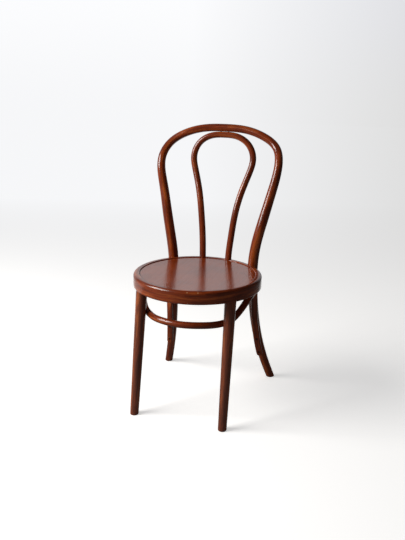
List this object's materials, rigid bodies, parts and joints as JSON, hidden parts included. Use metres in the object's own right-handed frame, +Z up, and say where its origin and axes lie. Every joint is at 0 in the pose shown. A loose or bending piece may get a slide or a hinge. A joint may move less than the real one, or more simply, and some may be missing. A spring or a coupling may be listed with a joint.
{
  "type": "bentwood bistro chair",
  "caption": "Round-seated bentwood chair: bent back bow that forms the rear legs, inner bow, turned front legs and a bent brace under the seat.",
  "frame": {"origin": "on the floor, under the middle of the chair's outer box", "axes": "+Z up, the chair's front faces -Y, +X is the sitter's left, seen from the front as right"},
  "size_m": [0.4272, 0.4734, 0.8787],
  "materials": {
    "stained_beech": "gloss varnish over mahogany stain",
    "seat_veneer": "high gloss varnish",
    "steel_fittings": "zinc plated",
    "dark_screws": "blackened steel"
  },
  "bodies": {
    "root": {"seat_ring": "stained_beech", "front_leg_left": "stained_beech", "front_leg_right": "stained_beech", "back_bow": "stained_beech", "inner_bow": "stained_beech", "leg_brace": "stained_beech", "seat_panel": "seat_veneer", "seat_bolts": "steel_fittings", "seat_bolt_washers": "steel_fittings", "seat_bolt_nuts": "steel_fittings", "brace_rear_screws": "dark_screws", "brace_seat_screws": "dark_screws", "brace_front_screws": "dark_screws", "inner_bow_screws": "dark_screws", "bow_crown_screws": "dark_screws"}
  },
  "joints": []
}
